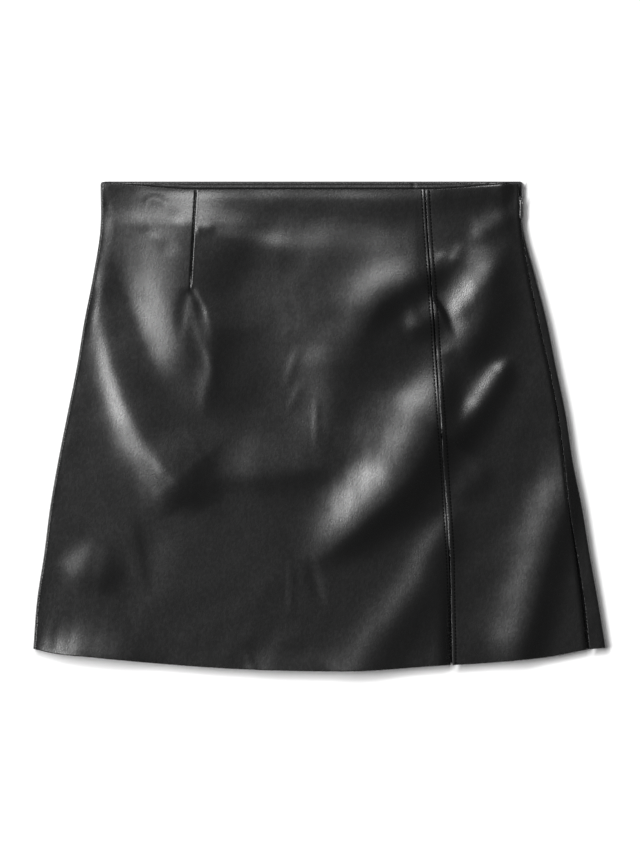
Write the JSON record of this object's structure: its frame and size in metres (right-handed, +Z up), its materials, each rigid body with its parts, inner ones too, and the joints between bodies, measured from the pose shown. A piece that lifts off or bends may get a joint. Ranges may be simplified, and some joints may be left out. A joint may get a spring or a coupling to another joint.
{
  "type": "leather mini skirt",
  "caption": "A-line mini skirt in black imitation leather, laid flat, with a front dart, a topstitched panel seam with a slit, and a concealed side zip.",
  "frame": {"origin": "centre of the skirt's footprint, on the surface it lies on", "axes": "+Z up from the surface, towards the front of the skirt; +Y towards the waist; +X towards the side with the slit and the zip"},
  "size_m": [0.494, 0.422, 0.0256],
  "materials": {
    "leather": "satin black imitation leather with a fine grain",
    "tape": "black woven zip tape",
    "coil": "black nylon",
    "metal": "dark grey enamelled metal, a little worn"
  },
  "bodies": {
    "skirt": {"front_main": "leather", "front_side": "leather", "back_panel": "leather", "facing_back": "leather", "zip_tape_front": "tape", "zip_tape_back": "tape", "zip_coil": "coil", "zip_slider": "metal"},
    "pull": {"zip_pull": "metal"}
  },
  "joints": [
    {"name": "pull_swing", "type": "hinge", "parent": "skirt", "child": "pull", "pos_m": [0.17322, 0.1945, 0.00891], "axis": [-0.8345, 0, 0.5511], "range_deg": [0, 165]}
  ]
}
